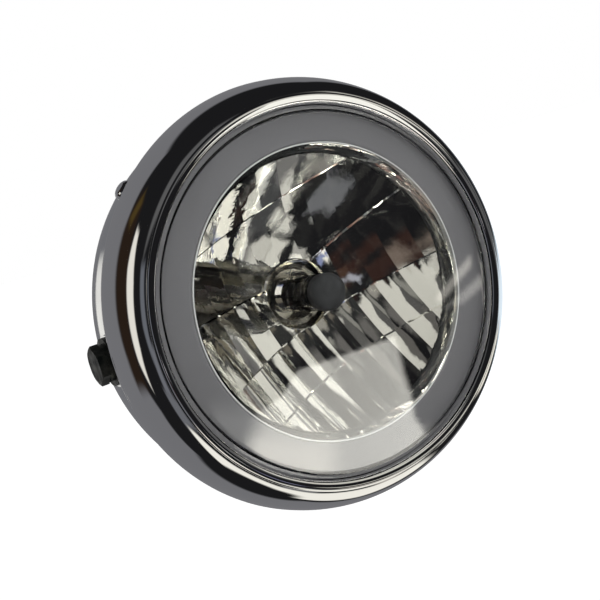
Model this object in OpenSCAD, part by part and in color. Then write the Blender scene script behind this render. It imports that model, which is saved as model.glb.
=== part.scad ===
// Round motorcycle headlight: chrome shell and rim, domed clear lens,
// faceted mirror reflector and a halogen bulb with a blackened tip.
// The lamp shines along -Y and +Z is up. The origin is on the lamp's
// axis, level with the two side bolts that carry it.
// Sections are drawn as radius against distance forward of those bolts.

/* [Rim] */
// Outer radius of the chrome rim
rim_r = 100; // [98:0.5:110]
// Distance of the rim's rear edge in front of the bolts
rim_back = 12; // [10:0.5:14]
// Depth of the rim from its rear edge to the crest of its round nose
rim_depth = 29; // [27:0.5:34]
// Thickness of the rim's sheet
rim_sheet = 1.2; // [0.8:0.1:1.5]
// Radius of the bead round the lens
bead_r = 2.6; // [2.2:0.1:3]
// Radius of the roll along the rim's rear edge
hem_roll = 1.6; // [1.4:0.1:2]
// Width of the rim's face, from its outer edge to the lens that shows
face_w = 16.3; // [16:0.1:17.5]

/* [Lens] */
// Radius of curvature of the lens dome
dome_radius = 209; // [180:1:300]
// Radius of the rounded shoulder round the dome
shoulder_r = 6; // [4.5:0.5:8]
// Thickness of the glass
lens_wall = 3.2; // [2.5:0.1:3.6]
// How far the lens flange reaches under the rim
lens_lap = 4.8; // [4.4:0.1:5.2]
// How far the lens flange sits behind the crest of the rim
lens_set = 5.8; // [5.6:0.1:6.2]
// Thickness of the rubber seal behind the lens
seal_t = 0.8; // [0.6:0.1:1]

/* [Reflector] */
// Turn of the lamp insert in the rim, seen from the front
insert_roll = 14.5; // [0:0.5:30]
// Width of the grey trim ring round the opening
trim_w = 17.7; // [16.5:0.1:19.5]
// Height of the trim ring's inner edge above the front of the lens flange
trim_rise = 0.3; // [0:0.1:0.8]
// How much smaller in radius the faceted bowl is than the opening
mirror_wall_w = 4; // [3.3:0.1:6]
// Depth of the bowl behind the opening
bowl_depth = 38; // [36:0.5:39]
// Depth of the bowl's own curve, from its middle to its edge
bowl_rise = 28.7; // [26.5:0.1:30]
// Width of one column of facets
column_w = 11.3; // [9:0.1:16]
// How far the middle of a flute stands out from its edges in the lowest row
flute = 1; // [0.4:0.1:1.2]
// Width of the bright lip round the reflector's opening
mirror_lip = 0.8; // [0.6:0.1:1.4]
// Width of the step between two rows of facets
step_w = 0.7; // [0.4:0.1:1.2]
// Thickness of the reflector behind its facets
bowl_wall = 3.4; // [3:0.1:4]
// Thickness of the grey trim ring
trim_t = 1.4; // [1:0.1:1.6]

/* [Bulb] */
// Radius of the bulb's glass
glass_r = 8.3; // [8:0.1:9]
// How far the bulb's tip sits behind the opening
tip_set = 0.5; // [0:0.5:6]
// Wall of the bulb's glass
glass_wall = 1; // [0.8:0.1:1.2]
// Length of the blackened tip
cap_len = 8.5; // [7:0.5:13]
// Radius of the bulb's mounting flange
flange_r = 21.5; // [20:0.1:22]
// Radius of the round hole in the middle of the bowl
neck_r = 16.6; // [16:0.1:17.5]

/* [Shell] */
// How much smaller in radius the shell is than the rim
rim_gap = 5; // [4.5:0.5:6]
// Thickness of the shell's sheet
shell_sheet = 1.2; // [1:0.1:1.6]
// How far the shell's mouth sits behind the crest of the rim
mouth_set = 19; // [17:0.5:21]
// Distance of the shell's rear face behind the bolts
shell_back = 80; // [76:1:100]
// Distance behind the bolts at which the shell starts to round
round_from = 10; // [6:1:15]
// Radius of the hole for the wiring in the shell's rear face
wire_hole_r = 14; // [12:0.5:17]
// Bore of the rubber grommet in that hole
wire_bore_r = 9; // [6:0.5:10]

/* [Side bolts] */
// Width across the flats of the bolt head
bolt_flats = 16; // [15:0.5:19]
// Radius of the bolt's shank
bolt_r = 5; // [4:0.5:5]
// Height of the bolt head
bolt_head = 3.9; // [3.5:0.1:7]
// Thickness of the flat washer
washer_t = 1.8; // [1.5:0.1:2.5]
// Thickness of the spring washer
spring_t = 2; // [1.8:0.1:2.6]
// Radius of the boss that the bolt clamps on
boss_r = 12; // [11:0.5:14]

/* [Small screws] */
// Angle of the dome head screw above the left bolt, round the axis
dome_angle = 47.3; // [35:0.1:60]
// Distance of the dome head screw behind the bolts
dome_back = 7; // [5:0.5:12]
// Radius of its domed head
dome_r = 4.8; // [4:0.1:6]
// Radius of the rim screw's shank
rim_screw_r = 2; // [1.5:0.1:2.5]
// Number of spring clips that hold the lamp insert in the rim
clip_count = 4; // [3:1:6]

/* [Hidden] */
$fn = 144;

chrome = [0.80, 0.80, 0.82];
mirror_colour = [0.90, 0.90, 0.88];
grey = [0.42, 0.42, 0.44];
dark = [0.20, 0.20, 0.21];
steel = [0.55, 0.55, 0.52];
rubber = [0.10, 0.10, 0.10];
glass_colour = [0.85, 0.90, 0.92, 0.35];

// Small gap between pieces that slide together
fit = 0.2;
// Reach of a cutting shape past the face that it cuts
over = 1;

// Profile of the rim's nose: a quarter ellipse that ends at the bead
nose_w = 16;
nose_r = rim_r - nose_w;
lens_view_r = rim_r - face_w;
crest_f = rim_back + rim_depth;
bead_c = lens_view_r + bead_r;
bead_f = crest_f - bead_r;
bead_from = 35;
nose_steps = 14;
crease_a = acos((bead_c + bead_r * cos(30) - nose_r) / nose_w);
hem_reach = 3.8;
hem_r = rim_r - hem_reach;
lip_t = 1.6;
lens_edge_f = crest_f - lens_set;
lip_f = lens_edge_f + lip_t;

// Lens dome
lens_flange_r = lens_view_r + lens_lap;
dome_end_r = lens_view_r - fit - 0.1;
dome_end_f = lens_edge_f + 0.4;
shoulder_c = dome_end_r - shoulder_r;
shoulder_a = asin(shoulder_c / (dome_radius - shoulder_r));
dome_f = dome_end_f - (dome_radius - shoulder_r) * cos(shoulder_a);
lens_flange_t = 3.4;
lens_seat_f = lens_edge_f - lens_flange_t;
lens_seat_w = 4;
lens_seat_r = lens_flange_r - lens_seat_w;

// Reflector
open_r = lens_seat_r - trim_w;
open_f = lens_edge_f + trim_rise;
bowl_r = open_r - mirror_wall_w;
focal = bowl_r * bowl_r / (4 * bowl_rise);
apex_f = open_f - bowl_depth;
flange_top_f = lens_seat_f - seal_t;
flange_t = 2.2;
trim_seat_f = open_f - trim_t;
neck_wall = 3;
neck_len = 12.5;
neck_back = neck_len - apex_f;
collar_wall = 2.5;
collar_in = flange_r + 4;
collar_out = collar_in + collar_wall;
collar_back = neck_back + 4;

// Bulb
bulb_seat = -neck_back;
flange_t_bulb = 1.5;
stem_len = 6;
stem_f = bulb_seat + stem_len;
tip_f = open_f - tip_set;
tip_dome = 4.5;

// Shell
shell_r = rim_r - rim_gap;
mouth_f = crest_f - mouth_set;
shell_in = shell_r - shell_sheet;
mouth_flange_r = hem_r - fit;
rear_flat_r = 24;

// Side bolts, as radius from the lamp's axis
boss_rise = 1.2;
boss_face = shell_r + boss_rise;
washer_face = boss_face + washer_t;
spring_face = washer_face + spring_t;
bolt_hole_r = bolt_r + 0.5;
nut_depth = 8;

// Turns a section drawn as radius and forward distance about the lamp's axis
module turned(points, facets = $fn) {
    rotate([90, 0, 0])
        rotate_extrude($fn = facets)
            polygon(points);
}

// Places what is drawn along +X with its height along +Y at an angle round the axis
module round_axis(angle, forward = 0) {
    rotate([0, -angle, 0])
        translate([0, -forward, 0])
            children();
}

// Cylinder along +X between two distances from the lamp's axis
module radial_rod(r, from, to, facets = $fn) {
    translate([from, 0, 0])
        rotate([0, 90, 0])
            cylinder(r = r, h = to - from, $fn = facets);
}

// Cylinder along the lamp's axis between two forward distances
module axial_rod(r, from, to, facets = $fn) {
    translate([0, -from, 0])
        rotate([90, 0, 0])
            cylinder(r = r, h = to - from, $fn = facets);
}

// Points of the rim's nose, set in from its outer face by a distance
function nose(inset) = [for (i = [0:nose_steps])
    let (a = crease_a * i / nose_steps)
    [nose_r + (nose_w - inset) * cos(a), rim_back + (rim_depth - inset) * sin(a)]];
function arc(cr, cf, r, a0, a1, steps) = [for (i = [0:steps])
    let (a = a0 + (a1 - a0) * i / steps)
    [cr + r * cos(a), cf + r * sin(a)]];
function backwards(points) = [for (i = [len(points) - 1:-1:0]) points[i]];
function after(points, count) = [for (i = [count:len(points) - 1]) points[i]];

module rim() {
    outer = concat(
        [[hem_r, rim_back]],
        arc(rim_r - hem_roll, rim_back + hem_roll, hem_roll, -90, 0, 4),
        after(nose(0), 2),
        arc(bead_c, bead_f, bead_r, bead_from, 180, 10),
        [[lens_view_r, lip_f]]);
    inner = concat(
        [[hem_r, rim_back + rim_sheet]],
        [[rim_r - hem_roll - 0.4, rim_back + rim_sheet]],
        after(nose(rim_sheet), 2),
        arc(bead_c, bead_f, bead_r - rim_sheet, bead_from, 180, 6),
        [[lens_view_r + rim_sheet, lip_f]]);
    color(chrome)
        turned(concat(outer, backwards(inner)));
}

// Outer section of the shell from the rounding back to the flat rear face
rear_a = asin(rear_flat_r / shell_r);
function shell_curve(inset) = [for (i = [0:14])
    let (a = 90 - (90 - rear_a) * i / 14)
    let (depth = (shell_back - round_from) / cos(rear_a))
    [(shell_r - inset) * sin(a), -round_from - (depth - inset) * cos(a)]];

// Solid inside one face of the shell, to seat pieces on its curved wall
module shell_core(inset) {
    turned(concat([[0, mouth_f + over], [shell_r - inset, mouth_f + over]], shell_curve(inset),
        [[0, -shell_back + inset]]));
}

module bucket() {
    outer = concat([[mouth_flange_r, mouth_f], [mouth_flange_r, mouth_f - shell_sheet],
        [shell_r, mouth_f - shell_sheet]], shell_curve(0));
    inner = concat([[shell_in, mouth_f]], shell_curve(shell_sheet));
    closed = concat(outer, [[0, -shell_back], [0, -shell_back + shell_sheet]], backwards(inner));
    color(chrome)
        difference() {
            turned(closed);
            axial_rod(wire_hole_r, -shell_back - over, -shell_back + 2 * shell_sheet + over);
            for (side = [0, 180])
                round_axis(side)
                    radial_rod(bolt_hole_r, shell_in - 4, shell_r + over, 48);
            round_axis(180 - dome_angle, -dome_back)
                radial_rod(dome_shank_r + fit, shell_in - over, shell_r + over, 32);
            round_axis(270, rim_screw_f)
                radial_rod(rim_screw_r + fit, shell_in - over, shell_r + over, 32);
        }
}

// Hook at the top of the rim, which grips the shell's mouth
hook_t = 1;
hook_w = 14;
module rim_hook() {
    reach = nose_inner_r(mouth_f + hook_t + fit) - 0.3;
    color(steel)
        round_axis(90)
            translate([0, 0, -hook_w / 2]) {
                linear_extrude(hook_w)
                    polygon([[shell_in - fit - hook_t, -mouth_f - fit - hook_t],
                        [reach, -mouth_f - fit - hook_t],
                        [reach, -mouth_f - fit],
                        [shell_in - fit - 0.3, -mouth_f - fit],
                        [shell_in - fit - 0.3, -rim_back],
                        [shell_in - fit - hook_t, -rim_back]]);
            }
}
// Inner radius of the rim's nose at a forward distance
function nose_inner_r(f) = nose_r + (nose_w - rim_sheet)
    * sqrt(1 - pow((f - rim_back) / (rim_depth - rim_sheet), 2));

// Bracket at the bottom of the rim, clamped by the rim screw
rim_screw_back = 7;
rim_screw_f = rim_back - rim_screw_back;
lug_t = 1.5;
lug_w = 14;
lug_gap = 4;
lug_tail = 6;
lug_r = shell_in - lug_gap;
module rim_lug() {
    reach = nose_inner_r(mouth_f + lug_t + fit) - 0.3;
    color(steel)
        difference() {
            round_axis(270)
                translate([0, 0, -lug_w / 2])
                    linear_extrude(lug_w)
                        polygon([[lug_r, -mouth_f - fit - lug_t],
                            [reach, -mouth_f - fit - lug_t],
                            [reach, -mouth_f - fit],
                            [lug_r + lug_t, -mouth_f - fit],
                            [lug_r + lug_t, -rim_screw_f + lug_tail],
                            [lug_r, -rim_screw_f + lug_tail]]);
            round_axis(270, rim_screw_f)
                radial_rod(rim_screw_r + fit, lug_r - over, lug_r + lug_t + over, 32);
        }
}

rim_nut_t = 3;
module rim_nut() {
    color(steel)
        round_axis(270, rim_screw_f)
            difference() {
                translate([lug_r - rim_nut_t, -3.5, -3.5])
                    cube([rim_nut_t, 7, 7]);
                radial_rod(rim_screw_r, lug_r - rim_nut_t - over, lug_r + over, 32);
            }
}

module rim_screw() {
    head_r = 2 * rim_screw_r;
    head_t = 2.4;
    color(chrome)
        difference() {
            union() {
                round_axis(270, rim_screw_f)
                    radial_rod(rim_screw_r - 0.05, lug_r - rim_nut_t - 1, shell_r + 0.5, 32);
                difference() {
                    round_axis(270, rim_screw_f)
                        radial_rod(head_r, shell_r - over, shell_r + head_t, 32);
                    shell_core(0);
                }
            }
            round_axis(270, rim_screw_f)
                translate([shell_r + head_t - 1, -0.5, -head_r - over])
                    cube([over + 1, 1, 2 * (head_r + over)]);
        }
}

// Points of the dome and its shoulder, from the axis out, set in by a distance
dome_steps = 16;
function dome(inset) = concat(
    [for (i = [0:dome_steps]) let (a = shoulder_a * i / dome_steps)
        [(dome_radius - inset) * sin(a), dome_f + (dome_radius - inset) * cos(a)]],
    [for (i = [1:6]) let (a = shoulder_a + (90 - shoulder_a) * i / 6)
        [shoulder_c + (shoulder_r - inset) * sin(a), dome_end_f + (shoulder_r - inset) * cos(a)]]);

module lens() {
    color(glass_colour)
        turned(concat(dome(0), [[dome_end_r, lens_edge_f], [lens_flange_r, lens_edge_f],
            [lens_flange_r, lens_seat_f], [lens_seat_r, lens_seat_f],
            [lens_seat_r, lens_seat_f + lens_flange_t / 3]], backwards(dome(lens_wall))));
}

module lens_seal() {
    color(rubber)
        turned([[lens_seat_r, flange_top_f], [lens_flange_r, flange_top_f],
            [lens_flange_r, lens_seat_f], [lens_seat_r, lens_seat_f]]);
}

// Flat grey ring between the lens and the reflector's opening
trim_out_r = lens_seat_r - fit;
module trim_ring() {
    color(grey)
        turned([[open_r, trim_seat_f], [trim_out_r, flange_top_f],
            [trim_out_r, flange_top_f + trim_t], [open_r + 2 * fit, open_f],
            [open_r, open_f - 1.5 * fit]]);
}

// Smooth bowl of the reflector
function bowl(x, z) = apex_f + (x * x + z * z) / (4 * focal);
// Height of row boundary j over the axis; the third one rises to both sides
row_share = [-1.15, -0.613, -0.247, 0.115, 0.717, 1.15];
row_lines = [for (share = row_share) share * bowl_r];
row_rise = [0, 0, 0, 0.2, 0, 0];
row_shift = [0.9, 0.2, 1, 0.3, 1.1];
row_flute = [1, 1, 0.4, 0.06, 0.06];
row_cuts = [5, 4, 4, 6, 4];
flute_cuts = 4;
half_columns = ceil((bowl_r + 2) / column_w);
function row_z(j, x) = row_lines[j] + row_rise[j] * abs(x);
// Sideways places of the mesh lines, flute_cuts to each column
column_x = [for (i = [-half_columns * flute_cuts:half_columns * flute_cuts])
    i * column_w / flute_cuts];
// One entry for each mesh line across: its row and its share of that row
row_marks = [for (j = [0:4]) for (i = [0:row_cuts[j]]) [j, i / row_cuts[j]]];
function mark_z(m, x) =
    let (low = row_z(m[0], x) + (m[0] > 0 ? step_w / 2 : 0))
    let (high = row_z(m[0] + 1, x) - (m[0] < 4 ? step_w / 2 : 0))
    low + (high - low) * m[1];
// Facets: each column is a flute, and each row is its own bowl, set a little apart
function facet(m, x, z) =
    let (u = x / column_w - floor(x / column_w))
    bowl(x, z) + row_shift[m[0]] + flute * row_flute[m[0]] * sin(180 * u);

// Solid whose rear face is the pattern of facets
module facet_cutter() {
    nx = len(column_x);
    nz = len(row_marks);
    front = open_f + 5;
    face = [for (m = row_marks) for (x = column_x)
        let (z = mark_z(m, x)) [x, -facet(m, x, z), z]];
    lid = [for (m = row_marks) for (x = column_x) [x, -front, mark_z(m, x)]];
    lid_at = nx * nz;
    quads = [for (j = [0:nz - 2]) for (i = [0:nx - 2])
        [j * nx + i, j * nx + i + 1, (j + 1) * nx + i + 1, (j + 1) * nx + i]];
    tri_face = [for (q = quads) each [[q[0], q[1], q[3]], [q[1], q[2], q[3]]]];
    tri_lid = [for (q = quads) each [[lid_at + q[0], lid_at + q[3], lid_at + q[1]],
        [lid_at + q[1], lid_at + q[3], lid_at + q[2]]]];
    edge = concat([for (i = [0:nx - 1]) i],
        [for (j = [1:nz - 1]) j * nx + nx - 1],
        [for (i = [nx - 2:-1:0]) (nz - 1) * nx + i],
        [for (j = [nz - 2:-1:1]) j * nx]);
    n = len(edge);
    sides = [for (k = [0:n - 1]) let (a = edge[k], b = edge[(k + 1) % n])
        each [[a, lid_at + a, b], [b, lid_at + a, lid_at + b]]];
    polyhedron(concat(face, lid), concat(tri_face, tri_lid, sides), convexity = 8);
}

wall_lap = 2;
module reflector() {
    back = [for (i = [0:10])
        let (r = neck_r + neck_wall + (bowl_r - neck_r - neck_wall) * i / 10)
        [r, bowl(r, 0) - bowl_wall]];
    body = concat([[neck_r, -neck_back], [neck_r + neck_wall, -neck_back]], back,
        [[open_r + wall_lap, trim_seat_f - 8], [open_r + wall_lap, trim_seat_f - 3],
        [lens_seat_r, flange_top_f - flange_t], [lens_flange_r, flange_top_f - flange_t],
        [lens_flange_r, flange_top_f], [trim_out_r, flange_top_f], [open_r, trim_seat_f],
        [neck_r, trim_seat_f]]);
    wall_f = bowl(bowl_r, 0);
    lip_out = open_r - fit / 2;
    lip_in = open_r - mirror_lip;
    color(mirror_colour)
        rotate([0, -insert_roll, 0]) {
            difference() {
                union() {
                    turned(body);
                    turned([[collar_in, -collar_back], [collar_out, -collar_back],
                        [collar_out, bowl(collar_out, 0) - 1], [collar_in, bowl(collar_in, 0) - 1]]);
                }
                intersection() {
                    facet_cutter();
                    turned([[0, apex_f - over], [bowl_r, apex_f - over], [bowl_r, wall_f],
                        [lip_in, trim_seat_f - over], [lip_in, trim_seat_f + over],
                        [0, trim_seat_f + over]]);
                }
            }
            turned([[lip_in, trim_seat_f - over], [lip_out, trim_seat_f - over],
                [lip_out, open_f + 0.4], [lip_in + 0.3, open_f + 0.4], [lip_in, open_f]]);
        }
}

// Bent spring clip that presses the reflector flange against the lens
clip_w = 10;
clip_t = 0.8;
clip_drop = 4;
clip_lap = 0.5;
clip_bow = 2;
module spring_clip() {
    seat_f = flange_top_f - flange_t;
    hook_f = mouth_f + clip_lap;
    end_r = nose_inner_r(seat_f - clip_drop) - 2 * fit;
    bend_r = lens_flange_r + clip_bow;
    half_t = clip_t / 2;
    translate([0, 0, -clip_w / 2])
        linear_extrude(clip_w)
            polygon([[lens_seat_r + clip_lap, -seat_f], [bend_r, -seat_f],
                [bend_r + clip_bow / 2, -seat_f + clip_drop], [end_r, -seat_f + clip_drop],
                [end_r, -hook_f], [end_r - clip_t, -hook_f],
                [end_r - clip_t, -seat_f + clip_drop + clip_t],
                [bend_r + half_t, -seat_f + clip_drop + clip_t],
                [bend_r - 1.5 * half_t, -seat_f + clip_t],
                [lens_seat_r + clip_lap, -seat_f + clip_t]]);
}

module retaining_clips() {
    color(steel)
        for (i = [0:clip_count - 1])
            round_axis(45 + 360 * i / clip_count)
                spring_clip();
}

// Bulb parts, all turned about the lamp's axis
collar_r = neck_r - 1;
collar_ring_w = 3.2;
collar_in_r = collar_r - collar_ring_w;
collar_len = 10;
collar_front = bulb_seat + collar_len;
base_r = glass_r + 2.5;
base_len = 16;
base_back = bulb_seat - base_len;

module bulb_flange() {
    color(steel)
        difference() {
            turned([[glass_r + fit, bulb_seat - flange_t_bulb], [flange_r, bulb_seat - flange_t_bulb],
                [flange_r, bulb_seat], [glass_r + fit, bulb_seat]]);
            for (angle = [90, 210, 330])
                round_axis(angle, bulb_seat)
                    translate([flange_r - 1.5, 0, 0])
                        cube([4, 4 * flange_t_bulb, 6], center = true);
        }
}

module bulb_collar() {
    color(dark)
        turned([[collar_in_r, bulb_seat], [collar_r, bulb_seat], [collar_r, collar_front],
            [collar_r - 1, collar_front + 1.2], [collar_in_r, collar_front]]);
}

glass_back = bulb_seat - flange_t_bulb;
module bulb_glass() {
    in_r = glass_r - glass_wall;
    shoulder = tip_f - tip_dome;
    dome_out = [for (i = [0:6]) let (a = 15 * i)
        [glass_r * cos(a), shoulder + (tip_f - shoulder) * sin(a)]];
    dome_in = [for (i = [0:6]) let (a = 90 - 15 * i)
        [in_r * cos(a), shoulder + (tip_f - shoulder - glass_wall) * sin(a)]];
    color(glass_colour)
        turned(concat([[0, glass_back], [glass_r, glass_back]], dome_out, dome_in,
            [[in_r, stem_f], [0, stem_f]]), 72);
}

cap_wall = 0.3;
module bulb_cap() {
    shoulder = tip_f - tip_dome;
    outer = [for (i = [0:6]) let (a = 15 * i) [(glass_r + cap_wall) * cos(a),
        shoulder + (tip_f - shoulder + cap_wall) * sin(a)]];
    inner = [for (i = [0:6]) let (a = 90 - 15 * i)
        [glass_r * cos(a), shoulder + (tip_f - shoulder) * sin(a)]];
    color(dark)
        turned(concat([[glass_r, tip_f - cap_len], [glass_r + cap_wall, tip_f - cap_len]],
            outer, inner), 72);
}

// Wires inside the bulb, with a leg to each end of the two filaments
wire_r = 0.5;
filament_r = 0.8;
filament_len = 5;
filament_z = 0.6;
main_gap = 11;
main_f = stem_f + main_gap;
dip_gap = 3.4;
dip_f = main_f + filament_len + dip_gap;
shield_r = 5;
shield_wall = 0.5;
shield_top = -1;
module lead(x, z, to) {
    translate([x, 0, z])
        axial_rod(wire_r, stem_f, to, 24);
}
module leg(x, f, from_z, to_z) {
    translate([x, -f, from_z])
        cylinder(r = wire_r, h = to_z - from_z, $fn = 24);
}

module bulb_supports() {
    upper_z = 4.2;
    lower_z = -4.2;
    side_x = -3.5;
    color(steel) {
        union() {
            lead(0, upper_z, dip_f + filament_len + 2 * wire_r);
            leg(0, dip_f + filament_len + wire_r, filament_z, upper_z);
        }
        union() {
            lead(side_x, filament_z, main_f);
            translate([side_x, -main_f + wire_r, filament_z])
                rotate([0, 90, 0])
                    cylinder(r = wire_r, h = -side_x, $fn = 24);
        }
        union() {
            lead(0, lower_z, dip_f - 2 * wire_r);
            leg(0, main_f + filament_len + wire_r, lower_z, filament_z);
        }
        leg(0, dip_f - wire_r, shield_top, filament_z);
    }
}

module bulb_filaments() {
    color(steel)
        for (from = [main_f, dip_f])
            translate([0, 0, filament_z])
                axial_rod(filament_r, from, from + filament_len, 24);
}

// Cup under the front filament
module bulb_shield() {
    rear = dip_f - 2 * wire_r;
    front = dip_f + filament_len + 1;
    color(steel)
        difference() {
            axial_rod(shield_r, rear, front, 48);
            axial_rod(shield_r - shield_wall, rear + shield_wall, front + over, 48);
            translate([-shield_r - over, -front - over, shield_top])
                cube([2 * (shield_r + over), front - rear + 2 * over, shield_r + 2]);
        }
}

module bulb_base() {
    color(dark)
        turned([[0, base_back], [base_r - 1, base_back], [base_r, base_back + 1],
            [base_r, bulb_seat - flange_t_bulb], [0, bulb_seat - flange_t_bulb]]);
}

module bulb_terminals() {
    blade_w = 8;
    blade_t = 0.8;
    blade_len = 8;
    color(steel)
        for (p = [[-6.5, 0, 90], [6.5, 0, 90], [0, 6, 0]])
            translate([p[0], -base_back + blade_len / 2, p[1]])
                rotate([0, p[2], 0])
                    cube([blade_w, blade_len, blade_t], center = true);
}

// Wire spring that holds the bulb flange on its seat
clip_wire = 0.8;
module bulb_clip() {
    ring_r = base_r + 3.5;
    wire_f = bulb_seat - flange_t_bulb - clip_wire;
    color(steel)
        union() {
            rotate([90, 0, 0])
                translate([0, 0, wire_f])
                    rotate_extrude($fn = 96)
                        translate([ring_r, 0])
                            circle(r = clip_wire, $fn = 16);
            for (side = [0, 180])
                round_axis(side, wire_f)
                    radial_rod(clip_wire, ring_r, collar_in - fit, 16);
        }
}

// Rubber cover over the back of the bulb
boot_wall = 2;
module dust_boot() {
    mouth = collar_out + fit;
    rear_f = base_back + 3;
    hole_r = base_r + fit;
    lip = apex_f - 1.5;
    color(rubber)
        turned([[mouth, lip], [mouth + boot_wall + 1, lip], [mouth + boot_wall + 1, lip - 3],
            [mouth + boot_wall, lip - 4], [mouth + boot_wall, -collar_back - boot_wall - 2],
            [hole_r + boot_wall + 2, rear_f - 1], [hole_r + boot_wall, rear_f - 4],
            [hole_r, rear_f - 4 + 2], [hole_r, rear_f + boot_wall],
            [mouth - 3, -collar_back - fit - 3], [mouth - 3, -collar_back - fit],
            [mouth, -collar_back - fit]]);
}

// Side bolt set, drawn on +X
module boss() {
    color(chrome)
        difference() {
            radial_rod(boss_r, shell_in - 4, boss_face, 72);
            shell_core(0);
            radial_rod(bolt_hole_r, shell_in - 5, boss_face + over, 48);
        }
}

module washer() {
    color(steel)
        difference() {
            radial_rod(boss_r - 1, boss_face, washer_face, 72);
            radial_rod(bolt_hole_r, boss_face - over, washer_face + over, 48);
        }
}

module spring_washer() {
    color(dark)
        difference() {
            radial_rod(bolt_flats / 2 + 0.5, washer_face, spring_face, 72);
            radial_rod(bolt_hole_r, washer_face - over, spring_face + over, 48);
            translate([washer_face + spring_t / 2, 0, bolt_flats / 2 - 1])
                rotate([25, 0, 0])
                    cube([2 * spring_t, 1, 9], center = true);
        }
}

nut_corner_r = bolt_flats / sqrt(3);
module bolt() {
    head_end = spring_face + bolt_head;
    chamfer = 1;
    color(dark)
        union() {
            intersection() {
                radial_rod(nut_corner_r, spring_face, head_end, 6);
                rotate([0, 90, 0])
                    rotate_extrude($fn = 72)
                        polygon([[0, spring_face], [nut_corner_r, spring_face],
                            [nut_corner_r, head_end - chamfer / 2],
                            [nut_corner_r - chamfer, head_end], [0, head_end]]);
            }
            radial_rod(bolt_r, shell_in - nut_depth - 2, spring_face + 0.5, 48);
        }
}

module nut() {
    color(steel)
        difference() {
            intersection() {
                radial_rod(nut_corner_r, shell_in - nut_depth, shell_r, 6);
                shell_core(shell_sheet);
            }
            radial_rod(bolt_r + 0.05, shell_in - nut_depth - over, shell_r + over, 48);
        }
}

module left_boss() { round_axis(180) boss(); }
module left_washer() { round_axis(180) washer(); }
module left_spring_washer() { round_axis(180) spring_washer(); }
module left_bolt() { round_axis(180) bolt(); }
module left_nut() { round_axis(180) nut(); }
module right_boss() { boss(); }
module right_washer() { washer(); }
module right_spring_washer() { spring_washer(); }
module right_bolt() { bolt(); }
module right_nut() { nut(); }

// Dome head screw on the upper left of the shell
dome_shank_r = 2.5;
dome_h = 3.4;
dome_nut_t = 3.5;
module dome_screw() {
    head = concat([[0, shell_r - 2], [dome_r, shell_r - 2], [dome_r, shell_r + 0.8]],
        [for (i = [1:6]) let (a = 15 * i)
            [dome_r * cos(a), shell_r + 0.8 + (dome_h - 0.8) * sin(a)]]);
    color(chrome)
        union() {
            difference() {
                round_axis(180 - dome_angle, -dome_back)
                    rotate([0, 90, 0])
                        rotate_extrude($fn = 48)
                            polygon(head);
                shell_core(0);
            }
            round_axis(180 - dome_angle, -dome_back)
                radial_rod(dome_shank_r, shell_in - dome_nut_t - 2, shell_r + 0.5, 32);
        }
}

module dome_nut() {
    color(steel)
        difference() {
            intersection() {
                round_axis(180 - dome_angle, -dome_back)
                    radial_rod(dome_shank_r * 1.85, shell_in - dome_nut_t, shell_r, 6);
                shell_core(shell_sheet);
            }
            round_axis(180 - dome_angle, -dome_back)
                radial_rod(dome_shank_r + 0.05, shell_in - dome_nut_t - over, shell_r + over, 32);
        }
}

// Rubber grommet in the shell's rear face, with a groove for the sheet
grommet_lip = 3;
grommet_t = 2.5;
module wiring_grommet() {
    lip_r = wire_hole_r + grommet_lip;
    outer_f = -shell_back;
    inner_f = -shell_back + shell_sheet;
    color(rubber)
        turned([[wire_bore_r, outer_f - grommet_t], [lip_r - 1, outer_f - grommet_t],
            [lip_r, outer_f - grommet_t + 1], [lip_r, outer_f], [wire_hole_r - 0.1, outer_f],
            [wire_hole_r - 0.1, inner_f], [lip_r - 0.5, inner_f], [lip_r - 1, inner_f + grommet_t],
            [wire_bore_r, inner_f + grommet_t]]);
}

rim();
rim_hook();
rim_lug();
rim_nut();
rim_screw();
bucket();
lens();
lens_seal();
trim_ring();
reflector();
retaining_clips();
bulb_flange();
bulb_collar();
bulb_glass();
bulb_cap();
bulb_shield();
bulb_filaments();
bulb_supports();
bulb_base();
bulb_terminals();
bulb_clip();
dust_boot();
left_boss();
left_washer();
left_spring_washer();
left_bolt();
left_nut();
right_boss();
right_washer();
right_spring_washer();
right_bolt();
right_nut();
dome_screw();
dome_nut();
wiring_grommet();
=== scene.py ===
import math

import bmesh
import bpy
import numpy as np
from mathutils import Matrix, Vector


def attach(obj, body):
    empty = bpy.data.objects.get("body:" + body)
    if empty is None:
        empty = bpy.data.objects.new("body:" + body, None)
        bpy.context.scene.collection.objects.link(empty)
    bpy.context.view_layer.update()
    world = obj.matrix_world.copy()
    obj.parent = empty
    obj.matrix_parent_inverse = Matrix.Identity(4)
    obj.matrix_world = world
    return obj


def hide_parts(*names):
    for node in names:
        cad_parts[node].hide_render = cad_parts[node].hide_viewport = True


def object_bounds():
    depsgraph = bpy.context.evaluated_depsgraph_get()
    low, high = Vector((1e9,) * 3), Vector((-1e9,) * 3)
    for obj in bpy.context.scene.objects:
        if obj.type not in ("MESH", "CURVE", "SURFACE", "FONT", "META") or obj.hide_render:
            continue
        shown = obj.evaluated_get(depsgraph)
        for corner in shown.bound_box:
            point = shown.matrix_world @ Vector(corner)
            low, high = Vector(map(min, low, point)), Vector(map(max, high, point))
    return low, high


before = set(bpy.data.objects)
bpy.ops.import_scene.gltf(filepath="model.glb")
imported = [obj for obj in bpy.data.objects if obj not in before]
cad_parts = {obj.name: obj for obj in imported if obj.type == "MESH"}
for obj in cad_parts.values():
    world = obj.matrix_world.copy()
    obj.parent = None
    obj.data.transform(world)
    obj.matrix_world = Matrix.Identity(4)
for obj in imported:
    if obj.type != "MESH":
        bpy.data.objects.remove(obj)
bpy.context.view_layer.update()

MM = 0.001
BODY = "root"

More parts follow.
